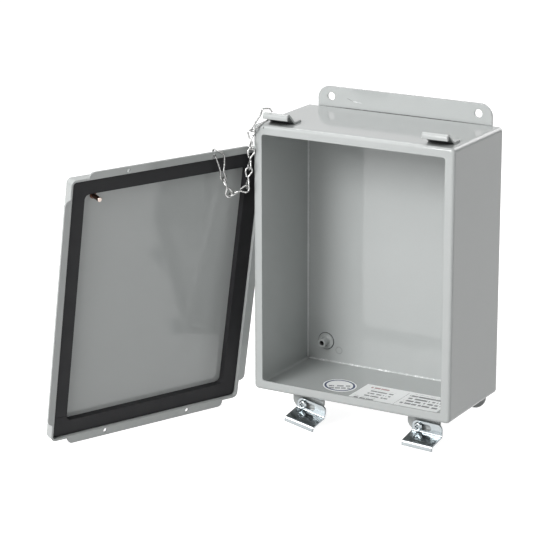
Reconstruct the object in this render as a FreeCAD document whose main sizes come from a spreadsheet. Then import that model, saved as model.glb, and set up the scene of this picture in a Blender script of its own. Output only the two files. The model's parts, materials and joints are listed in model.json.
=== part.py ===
import FreeCAD, Part
import os
import re
import Sketcher
from math import acos, atan2, cos, hypot, radians, sin, tan

# Steel wall enclosure with its lift-off cover hanging beside it on a short chain.
# Frame: origin at the centre of the four mounting holes, on the rear face of the feet,
# +X to the right, +Y towards the wall, +Z up. The open front faces -Y.

os.makedirs("parts", exist_ok=True)
Vector = FreeCAD.Vector
doc = FreeCAD.newDocument("wall_enclosure")

# Driving dimensions in millimetres and degrees
SIZES = {
    # box
    "body_width": 203.2,
    "body_height": 254.0,
    "body_depth": 101.6,
    "steel": 1.9,
    "corner_round": 4.0,
    "bend_round": 3.0,
    "lip_width": 8.9,
    "opening_round": 2.5,
    # feet, whose ends and holes keep their distance from the box's edges
    "foot_inset": 11.6,
    "foot_reach": 19.05,
    "foot_lap": 25.0,
    "foot_round": 12.0,
    "mount_inset": 25.4,
    "mount_stand": 9.525,
    "mount_hole": 7.94,
    # studs for an inner panel
    "stud_inset": 22.225,
    "stud_base": 16.0,
    "stud_base_depth": 1.3,
    "stud_tube": 8.6,
    "stud_length": 9.5,
    "stud_bore": 4.8,
    "stud_bore_depth": 7.5,
    # hooks on the top for the cover's upper flange
    "hook_width": 25.4,
    "hook_inset": 21.2,
    "hook_rise": 10.6,
    "hook_set_back": 3.0,
    "hook_lip_gap": 5.1,
    "hook_base_end": 29.0,
    "hook_arm_angle": 42.0,
    "hook_round": 3.4,
    # clamp brackets under the body, screws and clamps
    "screw_inset": 41.1,
    "screw_drop": 15.3,
    "bracket_width": 33.0,
    "bracket_set_back": 25.0,
    "bracket_shift": 3.5,
    "bracket_drop": 20.4,
    "bracket_top_depth": 16.0,
    "bracket_round": 8.0,
    "screw_shank": 4.8,
    "screw_play": 0.05,
    "screw_head": 8.4,
    "screw_head_height": 2.6,
    "screw_tail": 3.5,
    "recess_width": 1.1,
    "recess_length": 4.6,
    "recess_depth": 1.3,
    "clamp_steel": 1.5,
    "clamp_slack": 2.2,
    "clamp_seat": 0.3,
    "clamp_short_side": 6.7,
    "clamp_long_side": 24.0,
    "clamp_top": 5.5,
    "clamp_sole": 6.7,
    "clamp_fall": 3.5,
    "clamp_depth": 21.5,
    "clamp_tip": 13.4,
    "clamp_round": 5.0,
    "clamp_bend": 2.5,
    "slot_height": 5.7,
    "slot_run": 9.35,
    "left_clamp_turn": 11.5,
    "right_clamp_turn": 2.5,
    # cover
    "cover_play": 1.1,
    "cover_wall": 9.34,
    "cover_corner": 5.0,
    "cover_round": 3.6,
    "flange_reach": 5.47,
    "flange_rise": 0.92,
    "flange_corner": 5.2,
    "flange_gap_end": 17.6,
    "flange_gap_side": 18.0,
    "cover_hole": 4.0,
    "cover_hole_inset": 58.6,
    "cover_hole_offset": 1.2,
    "gasket_height": 6.35,
    "gasket_strip": 14.0,
    "gasket_gap": 0.9,
    "gasket_round": 5.0,
    "gasket_slit": 0.3,
    "ground_inset_side": 29.1,
    "ground_inset_top": 21.2,
    "ground_shank": 4.2,
    "ground_length": 12.0,
    "ground_base": 6.4,
    "ground_base_depth": 0.9,
    "cover_heading": 66.7,
    "cover_lean": 10.7,
    # chain
    "wire": 1.6,
    "eye_round": 3.2,
    "link_pitch": 17.8,
    "chain_play": 0.25,
    "strand_gap": 0.05,
    "clip_round": 2.5,
    "clip_spread": 2.8,
    "chain_heading": -128.7,
    "lean_one": 0.2,
    "lean_two": 7.5,
    "lean_three": 6.1,
    "lean_four": 74.9,
    "lean_five": 159.6,
    "chain_inset": 0.45,
    "chain_ahead": 3.95,
    "chain_drop": 6.2,
    "clip_eye_side": 7.35,
    "clip_eye_drop": 21.73,
    "clip_eye_lift": 7.66,
    # labels on the floor
    "label_thickness": 0.15,
    "oval_long": 36.0,
    "oval_short": 31.0,
    "oval_turn": 143.0,
    "oval_from_left": 69.0,
    "oval_from_front": 41.4,
    "data_length": 90.6,
    "data_width": 41.0,
    "data_from_left": 90.2,
    "data_from_front": 17.2,
}

dims = doc.addObject("Spreadsheet::Sheet", "dims")
for row, (word, value) in enumerate(SIZES.items(), start=1):
    dims.set("A%d" % row, word)
    dims.set("B%d" % row, str(value))
    dims.setAlias("B%d" % row, word)
doc.recompute()


def cells(text):
    """Point every named dimension of an expression at its cell."""
    return re.sub("[a-z_]+", lambda word: "dims." + word[0] if word[0] in SIZES else word[0], text)


def number(text):
    """Value of an expression of named dimensions."""
    return float(dims.evalExpression(cells(text)))


def bind(item, place, text):
    item.setExpression(place, cells(text))


# Sketches and features

def new_body(label):
    body = doc.addObject("PartDesign::Body", label)
    body.Label = label
    return body


def sketch_on(body, role, name, lift="0"):
    """A sketch on one of the body's origin planes, lifted along the plane's normal."""
    plane = [item for item in body.Origin.OriginFeatures if item.Role == role][0]
    sketch = body.newObject("Sketcher::SketchObject", body.Name + "_" + name)
    sketch.AttachmentSupport = [(plane, "")]
    sketch.MapMode = "FlatFace"
    bind(sketch, "AttachmentOffset.Base.z", lift)
    return sketch


def hold_point(sketch, geometry, end, spot):
    """Fix a point of the sketch at a spot that is worked out from the cells."""
    for kind, text in zip(("DistanceX", "DistanceY"), spot):
        index = sketch.addConstraint(Sketcher.Constraint(kind, -1, 1, geometry, end, number(text)))
        bind(sketch, "Constraints[%d]" % index, text)


def polygon(sketch, corners):
    points = [Vector(number(across), number(up), 0) for across, up in corners]
    first = sketch.GeometryCount
    for index, point in enumerate(points):
        following = points[(index + 1) % len(points)]
        sketch.addGeometry(Part.LineSegment(point, following), False)
    for index, corner in enumerate(corners):
        following = first + (index + 1) % len(points)
        sketch.addConstraint(Sketcher.Constraint("Coincident", first + index, 2, following, 1))
        hold_point(sketch, first + index, 1, corner)


def rectangle(sketch, left, right, low, high):
    polygon(sketch, [(left, low), (right, low), (right, high), (left, high)])


def circle(sketch, across, up, radius):
    shape = Part.Circle(Vector(number(across), number(up), 0), Vector(0, 0, 1), number(radius))
    index = sketch.addGeometry(shape, False)
    hold_point(sketch, index, 3, (across, up))
    held = sketch.addConstraint(Sketcher.Constraint("Radius", index, number(radius)))
    bind(sketch, "Constraints[%d]" % held, radius)


def pad(sketch, length, symmetric=False, reverse=False):
    feature = sketch.getParentGeoFeatureGroup().newObject("PartDesign::Pad", sketch.Name + "_pad")
    feature.Profile = sketch
    feature.SideType = "Symmetric" if symmetric else "One side"
    feature.Reversed = reverse
    bind(feature, "Length", length)
    return feature


def pocket(sketch, length, symmetric=False, reverse=False):
    """A pocket that has to take material away."""
    body = sketch.getParentGeoFeatureGroup()
    doc.recompute()
    before = body.Shape.Volume
    feature = body.newObject("PartDesign::Pocket", sketch.Name + "_pocket")
    feature.Profile = sketch
    feature.SideType = "Symmetric" if symmetric else "One side"
    feature.Reversed = reverse
    bind(feature, "Length", length)
    doc.recompute()
    if not body.Shape.Volume < before - 0.01:
        raise ValueError(sketch.Name + " cuts nothing")
    return feature


def turned(sketch):
    """A solid of revolution about the sketch's upright axis."""
    body = sketch.getParentGeoFeatureGroup()
    feature = body.newObject("PartDesign::Revolution", sketch.Name + "_turned")
    feature.Profile = sketch
    feature.ReferenceAxis = (sketch, ["V_Axis"])
    feature.Angle = 360
    return feature


def rounded(body, name, radius, chosen):
    """Round the edges of the body that a test picks out by their place."""
    doc.recompute()
    base = body.Tip
    edges = ["Edge%d" % index for index, edge in enumerate(base.Shape.Edges, start=1) if chosen(edge)]
    feature = body.newObject("PartDesign::Fillet", body.Name + "_" + name)
    feature.Base = (base, edges)
    bind(feature, "Radius", radius)
    return feature


NEAR = 0.02


def runs(edge, axis):
    """Whether an edge is straight and lies along the X, Y or Z axis."""
    box = edge.BoundBox
    spans = {"X": box.XLength, "Y": box.YLength, "Z": box.ZLength}
    longest = spans.pop(axis)
    return longest > NEAR and max(spans.values()) < NEAR


def at(edge, X=None, Y=None, Z=None):
    """Whether the middle of an edge lies at the given expressions, signs left aside for X."""
    middle = edge.BoundBox.Center
    found = True
    if X is not None:
        found = found and abs(abs(middle.x) - number(X)) < NEAR
    if Y is not None:
        found = found and abs(middle.y - number(Y)) < NEAR
    if Z is not None:
        found = found and abs(middle.z - number(Z)) < NEAR
    return found


def flat_at(edge, axis, text):
    """Whether a whole edge lies in a plane square to an axis."""
    box = edge.BoundBox
    low = {"X": box.XMin, "Y": box.YMin, "Z": box.ZMin}[axis]
    high = {"X": box.XMax, "Y": box.YMax, "Z": box.ZMax}[axis]
    return abs(low - number(text)) < NEAR and abs(high - number(text)) < NEAR


def place(body, x="0", y="0", z="0"):
    bind(body, "Placement.Base.x", x)
    bind(body, "Placement.Base.y", y)
    bind(body, "Placement.Base.z", z)


# Where the box's faces lie
FRONT = "-(steel + body_depth)"
BACK = "-steel"
FLOOR = "-body_height / 2 + steel"


def enclosure_body():
    """Formed steel box, open at the front inside a turned-in lip."""
    body = new_body("enclosure_body")
    outline = sketch_on(body, "XZ_Plane", "outline", "steel")
    rectangle(outline, "-body_width / 2", "body_width / 2", "-body_height / 2", "body_height / 2")
    pad(outline, "body_depth")
    rounded(body, "corners", "corner_round", lambda edge: runs(edge, "Y"))
    rounded(body, "bends", "bend_round",
            lambda edge: flat_at(edge, "Y", FRONT) or flat_at(edge, "Y", BACK))
    cavity = sketch_on(body, "XZ_Plane", "cavity", "2 * steel")
    rectangle(cavity, "-body_width / 2 + steel", "body_width / 2 - steel",
              "-body_height / 2 + steel", "body_height / 2 - steel")
    pocket(cavity, "body_depth - 2 * steel", reverse=True)
    rounded(body, "inner_corners", "corner_round - steel",
            lambda edge: runs(edge, "Y") and at(edge, X="body_width / 2 - steel"))
    opening = sketch_on(body, "XZ_Plane", "opening", "steel + body_depth")
    rectangle(opening, "-body_width / 2 + lip_width", "body_width / 2 - lip_width",
              "-body_height / 2 + lip_width", "body_height / 2 - lip_width")
    pocket(opening, "steel")
    rounded(body, "opening_corners", "opening_round",
            lambda edge: runs(edge, "Y") and at(edge, X="body_width / 2 - lip_width"))
    return body


def mounting_foot(label, side):
    """Flat plate welded to the back, with two holes where it stands past the box."""
    body = new_body(label)
    outline = sketch_on(body, "XZ_Plane", "outline")
    rectangle(outline, "-body_width / 2 + foot_inset", "body_width / 2 - foot_inset",
              side + " * (body_height / 2 - foot_lap)", side + " * (body_height / 2 + foot_reach)")
    height = side + " * (body_height / 2 + mount_stand)"
    circle(outline, "-body_width / 2 + mount_inset", height, "mount_hole / 2")
    circle(outline, "body_width / 2 - mount_inset", height, "mount_hole / 2")
    pad(outline, "steel")
    tip = side + " * (body_height / 2 + foot_reach)"
    rounded(body, "corners", "foot_round", lambda edge: runs(edge, "Y") and at(edge, Z=tip))
    return body


def panel_stud(label, x, z):
    """Internally threaded stud: a wide welded base, a swept neck and a hollow tube."""
    body = new_body(label)
    outline = sketch_on(body, "XY_Plane", "outline")
    polygon(outline, [
        ("0", "0"),
        ("stud_base / 2", "0"),
        ("stud_base / 2", "-stud_base_depth"),
        ("stud_tube / 2", "-stud_base_depth"),
        ("stud_tube / 2", "-stud_length"),
        ("stud_bore / 2", "-stud_length"),
        ("stud_bore / 2", "stud_bore_depth - stud_length"),
        ("0", "stud_bore_depth - stud_length"),
    ])
    turned(outline)
    rounded(body, "rim", "stud_base_depth / 2",
            lambda edge: flat_at(edge, "Y", "-stud_base_depth")
            and edge.BoundBox.XLength > number("stud_base") - NEAR)
    rounded(body, "neck", "(stud_base - stud_tube) / 4",
            lambda edge: flat_at(edge, "Y", "-stud_base_depth")
            and abs(edge.BoundBox.XLength - number("stud_tube")) < NEAR)
    place(body, x, "-2 * steel", z)
    return body


def panel_studs():
    """Four studs welded to the back wall, one node of separate solids."""
    corners = [("-1", "-1"), ("1", "-1"), ("-1", "1"), ("1", "1")]
    studs = [panel_stud("panel_stud_%d" % index, side + " * (body_width / 2 - stud_inset)",
                        level + " * (body_height / 2 - stud_inset)")
             for index, (side, level) in enumerate(corners, start=1)]
    group = doc.addObject("Part::Compound", "panel_studs")
    group.Links = studs
    group.Label = "panel_studs"
    return group


def cover_hook(label, side):
    """Bent strip welded on the top: it rises forward and turns down into a lip."""
    body = new_body(label)
    # The arm's upper line touches the round of the top bend.
    arm_fall = "tan(hook_arm_angle)"
    top = "(hook_rise - hook_round + hook_round / cos(hook_arm_angle))"
    crown = "(hook_set_back + hook_round)"
    corner_height = "(" + top + " + hook_round * " + arm_fall + ")"
    inner_height = "(" + top + " + (hook_round - steel) * " + arm_fall + " - steel / cos(hook_arm_angle))"
    upper_foot = "(" + crown + " + (" + top + " - steel) / " + arm_fall + ")"
    lower_foot = "(" + crown + " + (" + top + " - steel / cos(hook_arm_angle)) / " + arm_fall + ")"
    profile = sketch_on(body, "YZ_Plane", "profile")
    polygon(profile, [
        ("hook_base_end", "0"),
        ("hook_base_end", "steel"),
        (upper_foot, "steel"),
        ("hook_set_back", corner_height),
        ("hook_set_back", "hook_lip_gap"),
        ("hook_set_back + steel", "hook_lip_gap"),
        ("hook_set_back + steel", inner_height),
        (lower_foot, "0"),
    ])
    pad(profile, "hook_width", symmetric=True)
    rounded(body, "outer_bends", "hook_round", lambda edge: runs(edge, "X") and (
        at(edge, Y="hook_set_back", Z=corner_height) or at(edge, Y=lower_foot, Z="0")))
    rounded(body, "inner_bends", "hook_round - steel", lambda edge: runs(edge, "X") and (
        at(edge, Y="hook_set_back + steel", Z=inner_height) or at(edge, Y=upper_foot, Z="steel")))
    place(body, side + " * (body_width / 2 - hook_inset)", FRONT, "body_height / 2")
    return body


def clamp_bracket(label, side):
    """Tab under the body, turned back along its underside, that takes the clamp's screw."""
    body = new_body(label)
    profile = sketch_on(body, "YZ_Plane", "profile")
    polygon(profile, [
        ("0", "0"),
        ("bracket_top_depth", "0"),
        ("bracket_top_depth", "-steel"),
        ("steel", "-steel"),
        ("steel", "-bracket_drop"),
        ("0", "-bracket_drop"),
    ])
    pad(profile, "bracket_width", symmetric=True)
    rounded(body, "outer_bend", "bend_round", lambda edge: runs(edge, "X") and at(edge, Y="0", Z="0"))
    rounded(body, "inner_bend", "bend_round - steel",
            lambda edge: runs(edge, "X") and at(edge, Y="steel", Z="-steel"))
    rounded(body, "corners", "bracket_round",
            lambda edge: runs(edge, "Y") and at(edge, Z="-bracket_drop"))
    hole = sketch_on(body, "XZ_Plane", "hole", "-2 * steel")
    circle(hole, "-bracket_shift", "-screw_drop", "screw_shank / 2 + screw_play")
    pocket(hole, "4 * steel", reverse=True)
    place(body, side + " * (body_width / 2 - screw_inset) + bracket_shift",
          FRONT + " + bracket_set_back", "-body_height / 2")
    return body


# The clamp hangs loose on its screw, this far in front of the bracket
CLAMP_REAR = FRONT + " + bracket_set_back - clamp_slack"
HEAD_SEAT = CLAMP_REAR + " - clamp_steel - clamp_seat"


def slot(sketch, start, end, radius):
    """Round-ended slot along the sketch's first axis."""
    x_start = number(start)
    x_end = number(end)
    size = number(radius)
    upper = sketch.addGeometry(Part.LineSegment(Vector(x_start, size, 0), Vector(x_end, size, 0)), False)
    lower = sketch.addGeometry(Part.LineSegment(Vector(x_end, -size, 0), Vector(x_start, -size, 0)), False)
    turn = radians(90)
    far = sketch.addGeometry(
        Part.ArcOfCircle(Part.Circle(Vector(x_end, 0, 0), Vector(0, 0, 1), size), -turn, turn), False)
    close = sketch.addGeometry(
        Part.ArcOfCircle(Part.Circle(Vector(x_start, 0, 0), Vector(0, 0, 1), size), turn, 3 * turn), False)
    for first, first_end, second, second_end in (
            (upper, 2, far, 2), (far, 1, lower, 1), (lower, 2, close, 2), (close, 1, upper, 1)):
        sketch.addConstraint(Sketcher.Constraint("Tangent", first, first_end, second, second_end))
    hold_point(sketch, far, 3, (end, "0"))
    hold_point(sketch, close, 3, (start, "0"))
    held = sketch.addConstraint(Sketcher.Constraint("Radius", close, size))
    bind(sketch, "Constraints[%d]" % held, radius)


def clamp(label, side, turn):
    """Plated Z-shaped clamp: slotted leg, falling forward sole and a turned-down tip."""
    body = new_body(label)
    front_top = "clamp_steel - clamp_sole - clamp_fall"
    front_underside = "-clamp_sole - clamp_fall"
    profile = sketch_on(body, "YZ_Plane", "profile", "-clamp_short_side")
    polygon(profile, [
        ("0", "clamp_top"),
        ("0", "-clamp_sole"),
        ("clamp_steel - clamp_depth", front_underside),
        ("clamp_steel - clamp_depth", "-clamp_tip"),
        ("-clamp_depth", "-clamp_tip"),
        ("-clamp_depth", front_top),
        ("-clamp_steel", "clamp_steel - clamp_sole"),
        ("-clamp_steel", "clamp_top"),
    ])
    pad(profile, "clamp_short_side + clamp_long_side")
    rounded(body, "outer_bends", "clamp_bend", lambda edge: runs(edge, "X") and (
        at(edge, Y="0", Z="-clamp_sole") or at(edge, Y="-clamp_depth", Z=front_top)))
    rounded(body, "inner_bends", "clamp_bend - clamp_steel", lambda edge: runs(edge, "X") and (
        at(edge, Y="-clamp_steel", Z="clamp_steel - clamp_sole")
        or at(edge, Y="clamp_steel - clamp_depth", Z=front_underside)))
    rounded(body, "leg_corners", "clamp_round", lambda edge: runs(edge, "Y") and at(edge, Z="clamp_top"))
    hole = sketch_on(body, "XZ_Plane", "slot", "-clamp_steel")
    slot(hole, "0", "slot_run", "slot_height / 2")
    pocket(hole, "3 * clamp_steel", reverse=True)
    place(body, side + " * (body_width / 2 - screw_inset)", CLAMP_REAR, "-body_height / 2 - screw_drop")
    body.Placement.Rotation = FreeCAD.Rotation(Vector(0, 1, 0), number(turn))
    return body


def clamp_screw(label, side):
    """Pan-head screw with a cross recess; the shank runs back through the bracket."""
    body = new_body(label)
    length = "(clamp_seat + clamp_steel + clamp_slack + steel + screw_tail)"
    outline = sketch_on(body, "XY_Plane", "outline")
    polygon(outline, [
        ("0", "-screw_head_height"),
        ("screw_head / 2", "-screw_head_height"),
        ("screw_head / 2", "0"),
        ("screw_shank / 2", "0"),
        ("screw_shank / 2", length),
        ("0", length),
    ])
    turned(outline)
    rounded(body, "dome", "screw_head_height * 0.7",
            lambda edge: flat_at(edge, "Y", "-screw_head_height"))
    recess = sketch_on(body, "XZ_Plane", "recess", "screw_head_height")
    wide = "recess_length / 2"
    thin = "recess_width / 2"
    polygon(recess, [
        ("-" + wide, "-" + thin), ("-" + thin, "-" + thin), ("-" + thin, "-" + wide),
        (thin, "-" + wide), (thin, "-" + thin), (wide, "-" + thin),
        (wide, thin), (thin, thin), (thin, wide),
        ("-" + thin, wide), ("-" + thin, thin), ("-" + wide, thin),
    ])
    pocket(recess, "recess_depth")
    place(body, side + " * (body_width / 2 - screw_inset)", HEAD_SEAT, "-body_height / 2 - screw_drop")
    return body


# Half sizes of the cover, whose walls close over the box with a little play
HALF_WIDTH = "(body_width / 2 + cover_play + steel)"
HALF_HEIGHT = "(body_height / 2 + cover_play + steel)"


def flange(body, name, role, half, gap):
    """Two turned-out flanges, on opposite sides, each ending short of the corners."""
    out, across = half
    for side in ("-1", "1"):
        profile = sketch_on(body, role, name + ("_low" if side == "-1" else "_high"))
        inner = side + " * (" + out + " - steel)"
        outer = side + " * (" + out + " + flange_reach)"
        polygon(profile, [
            (inner, "cover_wall"),
            (outer, "cover_wall + flange_rise"),
            (outer, "cover_wall + flange_rise - steel"),
            (inner, "cover_wall - steel"),
        ])
        pad(profile, "2 * (" + across + " - " + gap + ")", symmetric=True)


def cover_panel():
    """Shallow pressed tray; its walls turn outward into flanges between the corners."""
    body = new_body("cover_panel")
    outline = sketch_on(body, "XY_Plane", "outline", "-steel")
    rectangle(outline, "-" + HALF_WIDTH, HALF_WIDTH, "-" + HALF_HEIGHT, HALF_HEIGHT)
    pad(outline, "cover_wall + steel")
    rounded(body, "corners", "cover_corner", lambda edge: runs(edge, "Z"))
    rounded(body, "bends", "cover_round", lambda edge: flat_at(edge, "Z", "-steel"))
    flange(body, "side_flange", "XZ_Plane", (HALF_WIDTH, HALF_HEIGHT), "flange_gap_side")
    flange(body, "end_flange", "YZ_Plane", (HALF_HEIGHT, HALF_WIDTH), "flange_gap_end")
    doc.recompute()
    tray = sketch_on(body, "XY_Plane", "tray")
    rectangle(tray, "-" + HALF_WIDTH + " + steel", HALF_WIDTH + " - steel",
              "-" + HALF_HEIGHT + " + steel", HALF_HEIGHT + " - steel")
    pocket(tray, "2 * cover_wall", reverse=True)
    rounded(body, "tray_corners", "cover_corner - steel",
            lambda edge: runs(edge, "Z") and at(edge, X=HALF_WIDTH + " - steel"))
    reach_x = number(HALF_WIDTH + " + flange_reach")
    reach_y = number(HALF_HEIGHT + " + flange_reach")
    rounded(body, "flange_corners", "flange_corner", lambda edge: runs(edge, "Z") and (
        abs(abs(edge.BoundBox.Center.x) - reach_x) < NEAR
        or abs(abs(edge.BoundBox.Center.y) - reach_y) < NEAR))
    holes = sketch_on(body, "XY_Plane", "holes", "cover_wall + 2 * steel")
    for side in ("-", ""):
        for end in ("-1", "1"):
            circle(holes, side + "(" + HALF_WIDTH + " - cover_hole_inset)",
                   end + " * (" + HALF_HEIGHT + " + cover_hole_offset)", "cover_hole / 2")
    pocket(holes, "4 * steel")
    return body


def cover_gasket():
    """Foam strip round the inside of the cover, butted in one corner."""
    body = new_body("cover_gasket")
    outer_x = "(" + HALF_WIDTH + " - steel - gasket_gap)"
    outer_y = "(" + HALF_HEIGHT + " - steel - gasket_gap)"
    outline = sketch_on(body, "XY_Plane", "outline")
    rectangle(outline, "-" + outer_x, outer_x, "-" + outer_y, outer_y)
    pad(outline, "gasket_height")
    rounded(body, "outer_corners", "gasket_round", lambda edge: runs(edge, "Z"))
    window = sketch_on(body, "XY_Plane", "window")
    rectangle(window, "-" + outer_x + " + gasket_strip", outer_x + " - gasket_strip",
              "-" + outer_y + " + gasket_strip", outer_y + " - gasket_strip")
    pocket(window, "gasket_height", reverse=True)
    rounded(body, "window_corners", "gasket_round",
            lambda edge: runs(edge, "Z") and at(edge, X=outer_x + " - gasket_strip"))
    joint = sketch_on(body, "XY_Plane", "joint")
    rectangle(joint, "-" + outer_x + " - gasket_slit", "-" + outer_x + " + gasket_strip + gasket_slit",
              "-" + outer_y + " + gasket_strip + gasket_round",
              "-" + outer_y + " + gasket_strip + gasket_round + gasket_slit")
    pocket(joint, "gasket_height", reverse=True)
    return body


def cover_ground_stud():
    """Plain weld stud on the inside of the cover, for an earthing wire."""
    body = new_body("cover_ground_stud")
    outline = sketch_on(body, "XZ_Plane", "outline")
    polygon(outline, [
        ("0", "0"),
        ("ground_base / 2", "0"),
        ("ground_base / 2", "ground_base_depth"),
        ("ground_shank / 2", "ground_base_depth"),
        ("ground_shank / 2", "ground_length"),
        ("0", "ground_length"),
    ])
    turned(outline)
    rounded(body, "tip", "ground_shank / 8", lambda edge: flat_at(edge, "Z", "ground_length"))
    return body


# Bent wire

def bent_path(points, bends):
    """Straight runs through the points, joined by tangent arcs of the given radii."""
    edges = []
    start = points[0]
    for before, corner, after, bend in zip(points, points[1:], points[2:], bends):
        back = (before - corner).normalize()
        ahead = (after - corner).normalize()
        half = back.getAngle(ahead) / 2
        middle = (back + ahead).normalize()
        enter = corner + back * (bend / tan(half))
        leave = corner + ahead * (bend / tan(half))
        crown = corner + middle * (bend / sin(half) - bend)
        if (enter - start).Length > 0.001:
            edges.append(Part.LineSegment(start, enter).toShape())
        edges.append(Part.Arc(enter, crown, leave).toShape())
        start = leave
    edges.append(Part.LineSegment(start, points[-1]).toShape())
    return Part.Wire(edges)


def bent_wire(points, bends):
    """Round wire swept along such a path."""
    path = bent_path(points, bends)
    ring = Part.Wire([Part.makeCircle(number("wire / 2"), points[0], points[1] - points[0])])
    return path.makePipe(Part.Face(ring))


def eye_corner(end, centre, radius, top, side):
    """Where the tangent from a strand's end to the eye's circle meets the line over the eye."""
    along = end[0] - centre
    across = end[1]
    reach = hypot(along, across)
    turn = atan2(across, along) + side * acos(radius / reach)
    touch_along = centre + radius * cos(turn)
    touch_across = radius * sin(turn)
    share = (end[0] - top) / (end[0] - touch_along)
    return top, across + (touch_across - across) * share


def link_shape():
    """One jack-chain link: two eyes square to each other, pinched together at the waist.

    The link runs along X. Its first eye lies in the XZ plane round the wire that crosses
    at the origin, and its second eye in the XY plane."""
    wire = number("wire")
    eye = number("eye_round")
    top = -(wire + number("chain_play"))
    waist = (top + number("link_pitch")) / 2
    aside = wire + number("strand_gap")
    straight = 0.75 * wire
    centre = top + eye
    loose_end = (waist - straight, aside)
    pinched_end = (waist - straight, 0.0)
    x_loose, z_loose = eye_corner(loose_end, centre, eye, top, 1)
    x_tight, z_tight = eye_corner(pinched_end, centre, eye, top, -1)
    # The second eye is the first one mirrored about the waist.
    points = [
        Vector(loose_end[0], 0, loose_end[1]),
        Vector(x_loose, 0, z_loose),
        Vector(x_tight, 0, z_tight),
        Vector(pinched_end[0], 0, 0),
        Vector(2 * waist - pinched_end[0], 0, 0),
        Vector(2 * waist - x_tight, z_tight, 0),
        Vector(2 * waist - x_loose, z_loose, 0),
        Vector(2 * waist - loose_end[0], loose_end[1], 0),
    ]
    return bent_wire(points, [eye, eye, wire, wire, eye, eye])


LEANS = ("lean_one", "lean_two", "lean_three", "lean_four", "lean_five")


def chain_level():
    """Level direction in which the chain swings away from the box."""
    heading = radians(number("chain_heading"))
    return Vector(cos(heading), sin(heading), 0)


def chain_square():
    """Level direction square to the chain's upright plane."""
    return Vector(0, 0, 1).cross(chain_level())


def chain_run():
    """Crossing points of the chain from the hook's clip to the cover's clip, and its directions."""
    level = chain_level()
    point = Vector(number("-body_width / 2 + chain_inset"), number(FRONT + " - chain_ahead"),
                   number("body_height / 2 - chain_drop"))
    points = [point]
    directions = []
    for name in LEANS:
        lean = radians(number(name))
        direction = level * sin(lean) - Vector(0, 0, cos(lean))
        directions.append(direction)
        point = point + direction * number("link_pitch")
        points.append(point)
    return points, directions


def chain_links():
    square = chain_square()
    points, directions = chain_run()
    links = []
    for index, direction in enumerate(directions):
        link = doc.addObject("Part::Feature", "chain_link_%d" % (index + 1))
        link.Label = link.Name
        link.Shape = link_shape()
        turn = FreeCAD.Rotation(direction, square, direction.cross(square), "XYZ")
        link.Placement = FreeCAD.Placement(points[index], turn)
        links.append(link)
    return links


# Corners and bends of the two clips, in wire thicknesses. The corners of the hook's clip are
# counted from the lower outer corner of the hook's lip, those of the cover's clip from the
# middle of its hole.
OVER_THE_LIP = [(4.188, 3.562, 3.75), (3.187, 2.625, 5.75), (-0.312, 0.25, 5.75), (-1.187, -0.25, 2.188)]
UNDER_THE_LIP = [(-0.062, -1.875, -2.875), (2.812, 1.875, -0.625), (3.25, 2.125, 1.25)]
HOOK_CLIP_BENDS = [1.25, 1.25, 1.5625, None, None, 2.5, 0.9375]
THROUGH_THE_COVER = [
    (3.312, -8.875, 3.75), (1.5, -3.438, 2.438), (0, 0, 2.062), (0, 0, -1.875), (0.625, 3.5, -1.875),
    (2, 3.5, 1.938), (5.562, 0.812, 2.25), (5.625, -4.5, 3.312), (4.5, -8.625, 4.812), (6, -12.625, 6.25),
]
COVER_CLIP_BENDS = [None, None, 2.5, 3.125, 0.8125, 0.8125, 0.875, 1.125, 1.5625, 2.5, 1.5625]
LOOSE_TIP = (0.187, 2.375, -0.25)


def off(start, corners):
    """Points at the given corners from a start, in wire thicknesses."""
    return [start + Vector(*corner) * number("wire") for corner in corners]


def clip(label, points, bends):
    """Open wire clip; a bend left open takes the clip's own round."""
    wire_clip = doc.addObject("Part::Feature", label)
    wire_clip.Label = label
    wire_clip.Shape = bent_wire(points, [
        number("clip_round" if bend is None else "%s * wire" % bend) for bend in bends])
    return wire_clip


def chain_clip_hook():
    """Over and under the left hook's lip, with the first link in its round bend."""
    bottom = chain_run()[0][0]
    half = chain_square() * number("clip_spread")
    # Lower corner of the hook's lip, at its outer end
    lip = Vector(number("-body_width / 2 + hook_inset - hook_width / 2"), number(FRONT + " + hook_set_back"),
                 number("body_height / 2 + hook_lip_gap"))
    points = off(lip, OVER_THE_LIP) + [bottom - half, bottom + half] + off(lip, UNDER_THE_LIP)
    return clip("chain_clip_hook", points, HOOK_CLIP_BENDS)


def clip_hole():
    """Middle of the cover's hole that carries the chain, in the cover's own frame."""
    return Vector(number(HALF_WIDTH + " - cover_hole_inset"), number(HALF_HEIGHT + " + cover_hole_offset"),
                  number("cover_wall"))


def clip_eye():
    """Lowest point of the cover clip's bend, in the cover's own frame."""
    return clip_hole() + Vector(number("clip_eye_side"), -number("clip_eye_drop"), number("clip_eye_lift"))


def cover_pose():
    """Placement of the cover as it hangs open at the end of the chain."""
    turn = FreeCAD.Rotation(Vector(0, 0, 1), number("cover_heading")).multiply(
        FreeCAD.Rotation(Vector(1, 0, 0), number("90 + cover_lean")))
    points, directions = chain_run()
    hang = points[-1] - directions[-1] * number("wire + chain_play")
    # The clip's round bend touches the last link where that link pulls.
    pull = turn.inverted().multVec(directions[-1])
    pull.z = 0
    bend = number("clip_round")
    touch = clip_eye() + Vector(0, bend, 0) - pull.normalize() * bend
    return FreeCAD.Placement(hang - turn.multVec(touch), turn)


def chain_clip_cover():
    """Through a hole of the cover's top flange and over its edge, down to the last link."""
    half = Vector(number("clip_spread"), 0, 0)
    eye = clip_eye()
    hole = clip_hole()
    points = off(eye + half, [LOOSE_TIP]) + [eye + half, eye - half] + off(hole, THROUGH_THE_COVER)
    return clip("chain_clip_cover", points, COVER_CLIP_BENDS)


def label_sheet(label, shape):
    sheet = doc.addObject("Part::Feature", label)
    sheet.Label = label
    sheet.Shape = shape
    return sheet


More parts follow.
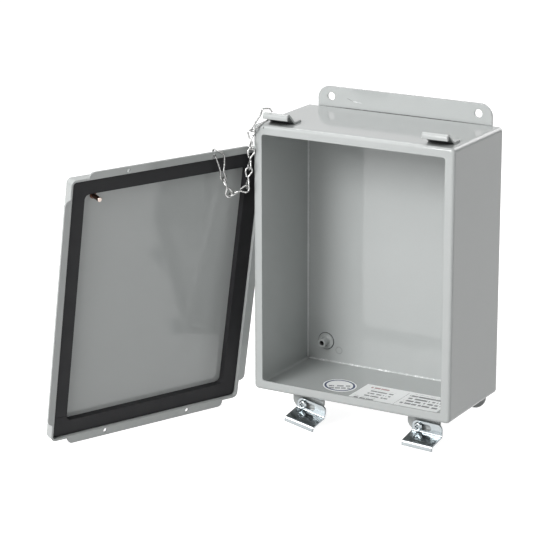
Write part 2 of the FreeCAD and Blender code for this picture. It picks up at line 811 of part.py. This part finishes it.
def oval_label():
    """Small oval paper label on the floor of the box."""
    middle = Vector(number("-body_width / 2 + oval_from_left"), number(FRONT + " + oval_from_front"),
                    number(FLOOR))
    outline = Part.Ellipse(Vector(0, 0, 0), number("oval_long / 2"), number("oval_short / 2")).toShape()
    sheet = Part.Face(Part.Wire([outline])).extrude(Vector(0, 0, number("label_thickness")))
    label = label_sheet("oval_label", sheet)
    label.Placement = FreeCAD.Placement(middle, FreeCAD.Rotation(Vector(0, 0, 1), number("oval_turn")))
    return label


def data_label():
    """Larger oblong paper label beside it."""
    sheet = doc.addObject("Part::Box", "data_label")
    sheet.Label = "data_label"
    bind(sheet, "Length", "data_length")
    bind(sheet, "Width", "data_width")
    bind(sheet, "Height", "label_thickness")
    place(sheet, "-body_width / 2 + data_from_left", FRONT + " + data_from_front", FLOOR)
    return sheet


def cover_parts():
    """The cover with what is fixed to it, all moved to where it hangs."""
    pose = cover_pose()
    stud = cover_ground_stud()
    parts = [cover_panel(), cover_gasket(), stud, chain_clip_cover()]
    stud_spot = Vector(number("-" + HALF_WIDTH + " + ground_inset_side"),
                       number(HALF_HEIGHT + " - ground_inset_top"), 0)
    for part in parts:
        inside = FreeCAD.Placement(stud_spot if part is stud else Vector(), FreeCAD.Rotation())
        part.Placement = pose.multiply(inside)
    return parts


pieces = [
    enclosure_body(),
    mounting_foot("mounting_foot_upper", "1"),
    mounting_foot("mounting_foot_lower", "-1"),
    panel_studs(),
    cover_hook("cover_hook_left", "-1"),
    cover_hook("cover_hook_right", "1"),
    clamp_bracket("clamp_bracket_left", "-1"),
    clamp_bracket("clamp_bracket_right", "1"),
    clamp("clamp_left", "-1", "left_clamp_turn"),
    clamp("clamp_right", "1", "right_clamp_turn"),
    clamp_screw("clamp_screw_left", "-1"),
    clamp_screw("clamp_screw_right", "1"),
    oval_label(),
    data_label(),
    chain_clip_hook(),
]
pieces += chain_links()
pieces += cover_parts()
doc.recompute()

for item in doc.Objects:
    if "Invalid" in item.State or "Error" in item.State:
        raise ValueError(item.Name + " could not be built: " + str(item.State))
for piece in pieces:
    if piece.Shape.isNull() or not piece.Shape.isValid() or piece.Shape.Volume <= 0:
        raise ValueError(piece.Label + " has no sound shape")
for piece in pieces:
    piece.Shape.exportStep("parts/" + piece.Label + ".step")
    print(piece.Label, len(piece.Shape.Solids), round(piece.Shape.Volume, 2))
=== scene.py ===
import bpy
import json
import mathutils
from math import cos, pi, radians, sin
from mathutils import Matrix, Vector


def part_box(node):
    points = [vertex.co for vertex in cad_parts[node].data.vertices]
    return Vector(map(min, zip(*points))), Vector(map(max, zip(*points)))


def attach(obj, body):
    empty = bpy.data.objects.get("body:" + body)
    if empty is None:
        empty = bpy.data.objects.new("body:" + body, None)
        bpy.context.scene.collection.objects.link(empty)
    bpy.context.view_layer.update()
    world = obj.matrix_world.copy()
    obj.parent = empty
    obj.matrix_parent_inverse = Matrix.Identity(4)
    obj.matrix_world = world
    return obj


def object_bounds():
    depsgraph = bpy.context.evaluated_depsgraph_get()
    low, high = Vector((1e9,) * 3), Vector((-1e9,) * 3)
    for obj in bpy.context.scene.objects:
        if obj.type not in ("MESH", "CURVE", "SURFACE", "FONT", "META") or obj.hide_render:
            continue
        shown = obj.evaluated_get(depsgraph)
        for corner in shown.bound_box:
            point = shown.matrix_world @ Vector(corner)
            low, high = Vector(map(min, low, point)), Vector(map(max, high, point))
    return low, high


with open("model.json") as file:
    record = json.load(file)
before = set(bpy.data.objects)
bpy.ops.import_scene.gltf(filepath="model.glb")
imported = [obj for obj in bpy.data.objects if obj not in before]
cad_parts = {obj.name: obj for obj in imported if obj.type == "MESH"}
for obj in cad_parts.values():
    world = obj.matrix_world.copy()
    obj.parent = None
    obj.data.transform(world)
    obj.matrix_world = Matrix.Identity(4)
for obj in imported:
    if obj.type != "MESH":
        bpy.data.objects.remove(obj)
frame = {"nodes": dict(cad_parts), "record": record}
cad_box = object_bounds()
nodes = frame["nodes"]
scene = bpy.context.scene


# Node helpers

# The Mix node's colour sockets, whose names its other forms share
MIX_SHARE, MIX_FIRST, MIX_SECOND, MIX_RESULT = 0, 6, 7, 2


def fresh(name):
    """A material with a principled shader, its node tree and that shader."""
    material = bpy.data.materials.new(name)
    material.use_nodes = True
    tree = material.node_tree
    shader = next(n for n in tree.nodes if n.type == "BSDF_PRINCIPLED")
    return material, tree, shader


def plug(tree, socket, value):
    """Link a socket to another one, or set its value."""
    if isinstance(value, bpy.types.NodeSocket):
        tree.links.new(value, socket)
    else:
        socket.default_value = value


def add(tree, kind, inputs=(), **settings):
    """One node, with its settings and with its inputs plugged by name or number."""
    node = tree.nodes.new(kind)
    for key, value in settings.items():
        setattr(node, key, value)
    for key, value in dict(inputs).items():
        plug(tree, node.inputs[key], value)
    return node


def feed(tree, shader, **sockets):
    """Plug the shader's sockets, named with underscores for spaces."""
    for key, value in sockets.items():
        plug(tree, shader.inputs[key.replace("_", " ")], value)


def place_in(tree):
    """The place on the piece, which on the frame's nodes is in metres at rest."""
    return add(tree, "ShaderNodeTexCoord").outputs["Object"]


def noise(tree, where, scale, detail=3.0, rough=0.55):
    node = add(tree, "ShaderNodeTexNoise",
               {"Vector": where, "Scale": scale, "Detail": detail, "Roughness": rough})
    return node.outputs["Fac"]


def spread(tree, value, low, high, floor=0.3, ceiling=0.7):
    """Stretch a value between floor and ceiling to a range."""
    node = add(tree, "ShaderNodeMapRange",
               {"Value": value, "From Min": floor, "From Max": ceiling,
                "To Min": low, "To Max": high})
    return node.outputs["Result"]


def maths(tree, operation, first, second=0.0):
    return add(tree, "ShaderNodeMath", {0: first, 1: second}, operation=operation).outputs[0]


def dot(tree, first, second):
    node = add(tree, "ShaderNodeVectorMath", {0: first, 1: second}, operation="DOT_PRODUCT")
    return node.outputs["Value"]


def blend(tree, share, first, second):
    """A colour between two others."""
    node = add(tree, "ShaderNodeMix", {MIX_SHARE: share, MIX_FIRST: first, MIX_SECOND: second},
               data_type="RGBA")
    return node.outputs[MIX_RESULT]


def bump(tree, height, distance, strength=1.0, below=None):
    """A relief, on top of another one where below is given."""
    inputs = {"Height": height, "Distance": distance, "Strength": strength}
    if below is not None:
        inputs["Normal"] = below
    return add(tree, "ShaderNodeBump", inputs).outputs["Normal"]


def within(tree, value, low, high):
    """1 between two limits, and 0 outside them."""
    return maths(tree, "MULTIPLY", maths(tree, "GREATER_THAN", value, low),
                 maths(tree, "LESS_THAN", value, high))


def product(tree, *values):
    total = values[0]
    for value in values[1:]:
        total = maths(tree, "MULTIPLY", total, value)
    return total


def seen_directly(tree):
    """1 for what the camera sees, also in a reflection or through glass."""
    ray = add(tree, "ShaderNodeLightPath").outputs
    return maths(tree, "MAXIMUM", ray["Is Camera Ray"],
                 maths(tree, "MAXIMUM", ray["Is Glossy Ray"], ray["Is Transmission Ray"]))


# Materials, with lengths in metres

PAINT_DARK, PAINT_LIGHT = (0.420, 0.438, 0.434), (0.465, 0.483, 0.478)
# Painted shade in narrow hollows: its near-black colour, and how far the occlusion that places it
# reaches
PAINTED_HOLLOW_SHADE = (0.03, 0.031, 0.031, 1)
HOLLOW_SHADE_REACH, PAINT_EDGE = 0.016, 0.0009
ZINC_DARK, ZINC_LIGHT = (0.38, 0.42, 0.44, 1), (0.54, 0.57, 0.58, 1)
ZINC_RIM_REFLECTION = (0.07, 0.08, 0.085, 1)
ZINC_EDGE = 0.0013
STUD_END = 0.0006


def toned(colour, tone):
    """A colour made lighter or darker, with its alpha."""
    return tuple(channel * tone for channel in colour) + (1,)


def paint(name, tone=1.0, peel_height=0.00003):
    """Light grey powder paint with a fine orange peel, with painted shade darkening its narrow
    hollows.
    """
    material, tree, shader = fresh(name)
    where = place_in(tree)
    cloudy = noise(tree, where, 14.0, 2.0)
    speck = noise(tree, where, 900.0, 2.0)
    share = maths(tree, "ADD", maths(tree, "MULTIPLY", cloudy, 0.5),
                  maths(tree, "MULTIPLY", speck, 0.5))
    colour = blend(tree, share, toned(PAINT_DARK, tone), toned(PAINT_LIGHT, tone))
    # Painted shade: ambient occlusion turns the colour toward near black in narrow hollows
    open_air = add(tree, "ShaderNodeAmbientOcclusion", {"Distance": HOLLOW_SHADE_REACH},
                   samples=8).outputs["AO"]
    hollow = spread(tree, open_air, 0.95, 0.0, 0.08, 0.45)
    colour = blend(tree, hollow, colour, PAINTED_HOLLOW_SHADE)
    peel = noise(tree, where, 380.0, 2.0)
    waves = noise(tree, where, 24.0, 1.0)
    edges = add(tree, "ShaderNodeBevel", {"Radius": PAINT_EDGE}, samples=4).outputs["Normal"]
    relief = bump(tree, peel, peel_height, 0.5, bump(tree, waves, 0.0006, 0.15, edges))
    feed(tree, shader, Base_Color=colour, Normal=relief,
         Roughness=spread(tree, cloudy, 0.05, 0.09, 0.2, 0.8))
    return material


def zinc(name):
    """Bright bluish zinc plate, faintly brushed, with a painted dark reflection along its edges.
    """
    material, tree, shader = fresh(name)
    where = place_in(tree)
    patch = noise(tree, where, 160.0, 3.0)
    stretched = add(tree, "ShaderNodeMapping", {"Vector": where, "Scale": (1.0, 9.0, 1.0)})
    grain = noise(tree, stretched.outputs[0], 1500.0, 2.0)
    colour = blend(tree, patch, ZINC_DARK, ZINC_LIGHT)
    rounded = add(tree, "ShaderNodeBevel", {"Radius": ZINC_EDGE}, samples=8).outputs["Normal"]
    flat = add(tree, "ShaderNodeNewGeometry").outputs["True Normal"]
    # Painted reflection: rounded edges are darkened as if they reflected dark surroundings
    edge = spread(tree, dot(tree, rounded, flat), 0.9, 0.0, 0.82, 0.99)
    colour = blend(tree, edge, colour, ZINC_RIM_REFLECTION)
    feed(tree, shader, Base_Color=colour, Metallic=1.0,
         Roughness=spread(tree, patch, 0.12, 0.22), Normal=bump(tree, grain, 0.000004, 0.5))
    return material


def bright_wire(name, dark, light):
    """Plated wire with drawing marks, in two tones."""
    material, tree, shader = fresh(name)
    drawn = noise(tree, place_in(tree), 700.0, 3.0)
    colour = blend(tree, spread(tree, drawn, 0.0, 1.0, 0.35, 0.65),
                   (dark, dark, dark * 1.01, 1), (light, light, light * 0.98, 1))
    feed(tree, shader, Base_Color=colour, Metallic=1.0,
         Roughness=spread(tree, drawn, 0.18, 0.32), Normal=bump(tree, drawn, 0.00003, 0.5))
    return material


def foam(name):
    """Black closed-cell foam, skinned on its faces."""
    material, tree, shader = fresh(name)
    where = place_in(tree)
    cells = add(tree, "ShaderNodeTexVoronoi", {"Vector": where, "Scale": 900.0})
    dust = noise(tree, where, 60.0, 4.0)
    colour = blend(tree, spread(tree, dust, 0.0, 1.0),
                   (0.010, 0.010, 0.011, 1), (0.020, 0.020, 0.022, 1))
    feed(tree, shader, Base_Color=colour, Roughness=spread(tree, dust, 0.55, 0.75),
         Specular_IOR_Level=0.3, Normal=bump(tree, cells.outputs["Distance"], 0.0001, 0.4))
    return material


def copper(name, axis, tip):
    """Tarnished copper flash, paler on the cut end, which is at tip along the axis."""
    material, tree, shader = fresh(name)
    where = place_in(tree)
    tarnish = noise(tree, where, 500.0, 3.0)
    dull = blend(tree, spread(tree, tarnish, 0.0, 1.0),
                 (0.045, 0.028, 0.022, 1), (0.20, 0.11, 0.08, 1))
    cut = maths(tree, "GREATER_THAN", dot(tree, where, axis), tip - STUD_END)
    colour = blend(tree, cut, dull, (0.72, 0.60, 0.54, 1))
    feed(tree, shader, Base_Color=colour, Metallic=1.0,
         Roughness=spread(tree, tarnish, 0.25, 0.45), Normal=bump(tree, tarnish, 0.00004, 0.5))
    return material


def bead(name):
    """Weld bead under paint, with painted glints: near-white spots in its colour where the rough
    weld would sparkle.
    """
    material, tree, shader = fresh(name)
    lumps = noise(tree, place_in(tree), 260.0, 3.0)
    # Painted highlight: the lightest lumps are near white
    colour = blend(tree, spread(tree, lumps, 0.0, 1.0, 0.5, 0.75),
                   (0.52, 0.54, 0.535, 1), (0.95, 0.96, 0.96, 1))
    feed(tree, shader, Base_Color=colour, Roughness=spread(tree, lumps, 0.4, 0.15),
         Normal=bump(tree, lumps, 0.0006, 0.6))
    return material


def dark_line(name):
    """Shadowed gap with a little dust in it."""
    material, tree, shader = fresh(name)
    dust = noise(tree, place_in(tree), 700.0)
    colour = blend(tree, dust, (0.05, 0.052, 0.052, 1), (0.11, 0.113, 0.113, 1))
    feed(tree, shader, Base_Color=colour, Roughness=spread(tree, dust, 0.5, 0.7),
         Normal=bump(tree, dust, 0.00005, 0.5))
    return material


# Labels, with lengths in millimetres across and up from the label's centre

OVAL_REACH_ACROSS, OVAL_REACH_UP = 18.0, 15.5
OVAL_TURN, OVAL_ROWS_TURN = 143.0, 118
OVAL_INK, OVAL_PRINT = (0.015, 0.03, 0.12, 1), (0.05, 0.05, 0.07, 1)
INK, RED_INK, LINE_INK = (0.03, 0.03, 0.035, 1), (0.30, 0.06, 0.05, 1), (0.2, 0.2, 0.2, 1)
DASH_LEVEL = 0.44


def in_millimetres(tree, centre, turn):
    """Distances across and up a label from its centre."""
    spot = add(tree, "ShaderNodeMapping",
               {"Vector": place_in(tree), "Location": [-c for c in centre]},
               vector_type="POINT").outputs[0]
    flat = add(tree, "ShaderNodeMapping",
               {"Vector": spot, "Rotation": (0, 0, radians(-turn)),
                "Scale": (1000, 1000, 1000)}).outputs[0]
    split = add(tree, "ShaderNodeSeparateXYZ", {0: flat})
    return split.outputs["X"], split.outputs["Y"]


def rows(tree, across, up, box, pitch, fill, breaks):
    """Rows of broken dashes in a box, as fine print looks from afar, with no letters in them."""
    left, right, low, high = box
    row = maths(tree, "DIVIDE", maths(tree, "SUBTRACT", up, low), pitch)
    spot = add(tree, "ShaderNodeCombineXYZ",
               {"X": maths(tree, "MULTIPLY", across, breaks),
                "Y": maths(tree, "MULTIPLY", maths(tree, "FLOOR", row), 7.3)})
    dash = add(tree, "ShaderNodeTexNoise",
               {"Vector": spot.outputs[0], "Scale": 1.0, "Detail": 1.0}).outputs["Fac"]
    return product(tree, within(tree, across, left, right), within(tree, up, low, high),
                   maths(tree, "LESS_THAN", maths(tree, "FRACT", row), fill),
                   maths(tree, "GREATER_THAN", dash, DASH_LEVEL))


def paper(name, centre, turn, marks):
    """White label stock, with the marks that a function draws on it."""
    material, tree, shader = fresh(name)
    fibre = noise(tree, place_in(tree), 1200.0, 3.0)
    colour = blend(tree, fibre, (0.93, 0.94, 0.94, 1), (0.97, 0.98, 0.98, 1))
    for share, ink in marks(tree, *in_millimetres(tree, centre, turn)):
        colour = blend(tree, share, colour, ink)
    feed(tree, shader, Base_Color=colour, Roughness=spread(tree, fibre, 0.3, 0.4),
         Normal=bump(tree, fibre, 0.00001, 0.4))
    return material


def oval_marks(tree, across, up):
    """A thin dark ring inside the edge and two short rows, level with the box."""
    a = maths(tree, "DIVIDE", across, OVAL_REACH_ACROSS)
    b = maths(tree, "DIVIDE", up, OVAL_REACH_UP)
    reach = maths(tree, "SQRT", maths(tree, "ADD", maths(tree, "MULTIPLY", a, a),
                                      maths(tree, "MULTIPLY", b, b)))
    ring = within(tree, reach, 0.79, 0.91)
    spot = add(tree, "ShaderNodeCombineXYZ", {"X": across, "Y": up}).outputs[0]
    turned = add(tree, "ShaderNodeMapping",
                 {"Vector": spot, "Rotation": (0, 0, radians(OVAL_ROWS_TURN))}).outputs[0]
    level = add(tree, "ShaderNodeSeparateXYZ", {0: turned}).outputs
    dashes = rows(tree, level["X"], level["Y"], (-10, 10, -9.0, 3.0), 6.0, 0.5, 0.35)
    return [(ring, OVAL_INK), (maths(tree, "MULTIPLY", dashes, 0.8), OVAL_PRINT)]


# Each block: left, right, low and high; pitch, filled share, breaks in a row; strength and ink
DATA_BLOCKS = [
    ((-38, -18, 12.0, 16.0), 4.0, 0.8, 0.3, 0.8, RED_INK),
    ((-34, -10, -10.0, 10.0), 6.6, 0.4, 0.3, 0.85, INK),
    ((4, 42, -12.0, 16.5), 7.0, 0.5, 0.3, 0.85, INK),
    ((-42, -20, -18.5, -13.0), 5.0, 0.5, 0.3, 0.85, INK),
]


def data_marks(tree, across, up):
    """A dividing line and blocks of rows on either side of it."""
    line = product(tree, within(tree, across, 0.4, 0.8), within(tree, up, -18, 16))
    marks = [(line, LINE_INK)]
    for box, pitch, fill, breaks, strength, ink in DATA_BLOCKS:
        dashes = rows(tree, across, up, box, pitch, fill, breaks)
        marks.append((maths(tree, "MULTIPLY", dashes, strength), ink))
    return marks


# Finish of each CAD node

def middle(node):
    low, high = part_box(node)
    return (low + high) / 2


cover_face = max(nodes["cover_panel"].data.polygons, key=lambda face: face.area).normal.copy()
if cover_face.x < 0:
    cover_face.negate()
stud_tip = max(cover_face.dot(vertex.co) for vertex in nodes["cover_ground_stud"].data.vertices)

FINISH = {
    "grey_paint": paint("grey_paint"),
    # The side seams get a lighter tone of the paint, a painted highlight where the fillets would
    # catch the light
    "seam_paint": paint("seam_paint", 1.5, 0.0001),
    "ring_paint": paint("ring_paint", 0.8),
    "weld_bead": bead("weld_bead"),
    "dark_line": dark_line("dark_line"),
    "zinc_plate": zinc("zinc_plate"),
    "bright_wire": bright_wire("clip_wire", 0.16, 0.46),
    "chain_wire": bright_wire("chain_wire", 0.18, 0.76),
    "foam_rubber": foam("foam_rubber"),
    "copper": copper("copper", tuple(cover_face), stud_tip),
}
SPECIAL = {
    "oval_label": paper("oval_paper", middle("oval_label"), OVAL_TURN, oval_marks),
    "data_label": paper("data_paper", middle("data_label"), 0.0, data_marks),
}
for link in range(1, 6):
    SPECIAL["chain_link_%d" % link] = FINISH["chain_wire"]
for part in frame["record"]["subparts"]:
    mesh = nodes[part["node"]].data
    mesh.materials.clear()
    mesh.materials.append(SPECIAL.get(part["node"]) or FINISH[part["material_slot"]])


# Small forms that the solids leave out. All lengths here are in millimetres.

MM = 0.001
HALF_WIDTH, HALF_HEIGHT, STEEL = 101.6, 127.0, 1.9
INNER_X, INNER_Z = HALF_WIDTH - STEEL, HALF_HEIGHT - STEEL
# Where the faces that look forward lie along Y
LIP_FACE, BACK_FACE, FOOT_FACE = -103.5, -3.8, -1.9
QUARTERS = [(-1, -1), (1, -1), (-1, 1), (1, 1)]
WELD_X, WELD_Z = 65.3, 112.4
STUD_X, STUD_Z = 79.375, 104.775
JOINT_X, JOINT_Z = 89, 126.6
# Radius and height over the wall
WELD_PROFILE = [(2.8, -0.05), (3.1, 0.2), (3.4, 0.25), (3.9, -0.05)]
STUD_SHADOW_PROFILE = [(7.9, -0.05), (8.1, 0.22), (8.5, 0.22), (8.7, -0.05)]


def solid(name, points, faces, finish, body="enclosure", slot="grey_paint"):
    """A smooth mesh piece from points in millimetres, riding on a body."""
    mesh = bpy.data.meshes.new(name)
    mesh.from_pydata([Vector(p) * MM for p in points], [], faces)
    mesh.validate()
    mesh.update()
    for polygon in mesh.polygons:
        polygon.use_smooth = True
    mesh.materials.append(FINISH[finish])
    piece = bpy.data.objects.new(name, mesh)
    scene.collection.objects.link(piece)
    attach(piece, body)


def swept(sections):
    """Points and faces of a closed form through rings of points with as many points each."""
    count = len(sections[0])
    points = [p for ring in sections for p in ring]
    faces = []
    for i in range(len(sections) - 1):
        for k in range(count):
            a, b = i * count + k, i * count + (k + 1) % count
            faces.append((a, b, b + count, a + count))
    faces.append(tuple(reversed(range(count))))
    faces.append(tuple(range(len(points) - count, len(points))))
    return points, faces


def seam(name, start, end, first, second, size, rough, finish, step=1.5):
    """Paint and weld in a corner: a hollow fillet whose width wavers along it."""
    start, end, first, second = Vector(start), Vector(end), Vector(first), Vector(second)
    count = max(2, int((end - start).length / step))
    sections = []
    for i in range(count + 1):
        spot = start.lerp(end, i / count)
        width = size * (1 + rough * mathutils.noise.noise(spot * 0.31)
                        + 0.6 * rough * mathutils.noise.noise(spot * 1.1))
        hub = spot + (first + second) * width
        arc = [hub - first * width * cos(radians(a)) - second * width * sin(radians(a))
               for a in range(0, 91, 15)]
        sections.append([spot - (first + second) * 0.02] + arc)
    solid(name, *swept(sections), finish)


def lathe(name, profile, centre, finish, turns=40):
    """A ring about an axis along Y, from radius and forward distance pairs."""
    points = []
    for i in range(turns):
        turn = 2 * pi * i / turns
        points += [(centre[0] + r * cos(turn), centre[1] - out, centre[2] + r * sin(turn))
                   for r, out in profile]
    count = len(profile)
    faces = []
    for i in range(turns):
        j = (i + 1) % turns
        for k in range(count - 1):
            faces.append((i * count + k, i * count + k + 1, j * count + k + 1, j * count + k))
    solid(name, points, faces, finish)


def smear(name, points, width, height, finish):
    """A thin raised streak along points on a wall that faces forward, tapered to both ends."""
    sections = []
    for i, point in enumerate(points):
        after, before = points[min(i + 1, len(points) - 1)], points[max(i - 1, 0)]
        across = (after - before).cross(Vector((0, 1, 0))).normalized()
        full = sin(pi * (i + 0.5) / len(points))
        sections.append([point + across * width * full * cos(radians(a))
                         + Vector((0, -1, 0)) * height * full * sin(radians(a))
                         for a in range(0, 360, 45)])
    solid(name, *swept(sections), finish)


def streak(start, end, count, waver):
    """Points from one place to another that stray a little."""
    start, end = Vector(start), Vector(end)
    return [start.lerp(end, i / (count - 1))
            + Vector((0, 0, waver * mathutils.noise.noise((i * 0.7, 0, 0))))
            for i in range(count)]


# Side corners: fillets in the lighter paint, a painted highlight along each seam
for side, x in (("left", -1), ("right", 1)):
    seam("corner_seam_" + side, (x * INNER_X, BACK_FACE, -INNER_Z),
         (x * INNER_X, BACK_FACE, INNER_Z), (-x, 0, 0), (0, -1, 0), 1.3, 0.25, "seam_paint")
for side, z in (("floor", -1), ("roof", 1)):
    seam("corner_seam_" + side, (-INNER_X, BACK_FACE, z * INNER_Z),
         (INNER_X, BACK_FACE, z * INNER_Z), (0, 0, -z), (0, -1, 0), 1.2, 0.6, "weld_bead", 0.8)
# Rings left on the back wall by the spot welds that hold the feet
for index, (x, z) in enumerate(QUARTERS, start=1):
    lathe("spot_weld_%d" % index, WELD_PROFILE, (x * WELD_X, BACK_FACE, z * WELD_Z), "ring_paint")
# Painted shadow: a dark ring where each stud's base meets the wall
for index, (x, z) in enumerate(QUARTERS, start=1):
    lathe("stud_shadow_line_%d" % index, STUD_SHADOW_PROFILE, (x * STUD_X, BACK_FACE, z * STUD_Z), "dark_line")
# A nick in the lip, drawn as a dark streak of painted shade
smear("lip_nick", streak((-90.9, LIP_FACE, 123.2), (-90.5, LIP_FACE, 125.8), 7, 0),
      0.4, 0.1, "dark_line")
smear("foot_spatter", streak((-53.5, FOOT_FACE, 133.9), (-43.5, FOOT_FACE, 133.0), 16, 0.5),
      0.45, 0.4, "weld_bead")
smear("foot_scratch", streak((-60.0, FOOT_FACE, 136.6), (-53.0, FOOT_FACE, 133.8), 10, 0.6),
      0.15, 0.1, "dark_line")
# Painted shade along the groove where each foot meets the box
for side, z in (("upper", 1), ("lower", -1)):
    smear("foot_joint_" + side,
          streak((-JOINT_X, FOOT_FACE, z * JOINT_Z), (JOINT_X, FOOT_FACE, z * JOINT_Z), 60, 0.2),
          0.45, 0.25, "dark_line")


# Room, in metres

FLOOR_DROP = 0.0003
# Strength of the white that the camera and the metals see
FLOOR_WHITE, SKY_WHITE, SKY_LIGHT = 0.88, 0.85, 0.15
# Name, place, width and height, and power in watts; each lamp faces the origin
LAMPS = [
    ("overhead", (-0.75, 0.3, 1.6), (0.7, 0.7), 10),
    ("front", (-0.45, -2.0, 1.1), (2.0, 1.8), 34),
    ("key", (-0.55, -2.0, 1.1), (0.7, 0.7), 25),
    ("side", (1.85, -0.35, 0.3), (0.5, 0.5), 3.8),
    ("back", (0.45, 2.2, 0.8), (1.2, 1.2), 16),
]


def plane(name, size, place, material, turn=(0, 0, 0)):
    """A flat sheet that belongs to the room."""
    x, y = size[0] / 2, size[1] / 2
    mesh = bpy.data.meshes.new(name)
    mesh.from_pydata([(-x, -y, 0), (x, -y, 0), (x, y, 0), (-x, y, 0)], [], [(0, 1, 2, 3)])
    mesh.materials.append(material)
    item = bpy.data.objects.new(name, mesh)
    item.location = place
    item.rotation_euler = [radians(a) for a in turn]
    scene.collection.objects.link(item)
    return item


def floor_material():
    """Pale floor that the camera sees as white, with the object's shadow on it."""
    material, tree, shader = fresh("floor_white")
    mottle = noise(tree, place_in(tree), 8.0, 2.0)
    colour = blend(tree, mottle, (0.48, 0.48, 0.48, 1), (0.50, 0.50, 0.50, 1))
    feed(tree, shader, Base_Color=colour, Roughness=0.9, Emission_Color=(1, 1, 1, 1),
         Emission_Strength=maths(tree, "MULTIPLY", seen_directly(tree), FLOOR_WHITE))
    return material


def card_material():
    material, tree, shader = fresh("flag_left")
    weave = noise(tree, place_in(tree), 300.0)
    colour = blend(tree, weave, (0.012, 0.012, 0.012, 1), (0.02, 0.02, 0.02, 1))
    feed(tree, shader, Base_Color=colour, Roughness=0.8)
    return material


floor = plane("floor", (60, 60), (0, 0, cad_box[0][2] - FLOOR_DROP), floor_material())

world = bpy.data.worlds.new("studio")
scene.world = world
world.use_nodes = True
tree = world.node_tree
background = next(n for n in tree.nodes if n.type == "BACKGROUND")
white = maths(tree, "MULTIPLY", seen_directly(tree), SKY_WHITE)
feed(tree, background, Strength=maths(tree, "ADD", white, SKY_LIGHT), Color=(1, 1, 1, 1))

for name, place, size, power in LAMPS:
    lamp = bpy.data.lights.new(name, "AREA")
    lamp.shape = "RECTANGLE"
    lamp.size, lamp.size_y = size
    lamp.energy = power
    item = bpy.data.objects.new(name, lamp)
    item.location = place
    item.rotation_euler = (-Vector(place)).to_track_quat("-Z", "Y").to_euler()
    scene.collection.objects.link(item)

# Black card, hidden from the camera, that the paint and the metals reflect
card = plane("flag_left", (1.2, 0.5), (-1.3, -0.75, 0.1), card_material(), (90, 0, -60))
card.visible_camera = False

# Camera at the photograph's viewing angle, solved from the box's corners
camera = bpy.data.objects.new("camera", bpy.data.cameras.new("camera"))
camera.location = (0.956734, -1.888295, 0.592928)
camera.rotation_euler = (radians(74.2467), 0, radians(29.7371))
camera.data.sensor_width = 36
camera.data.lens = 151.148
camera.data.shift_x = -0.02164
camera.data.shift_y = -0.05036
scene.collection.objects.link(camera)
scene.camera = camera

scene.view_settings.view_transform = "Standard"
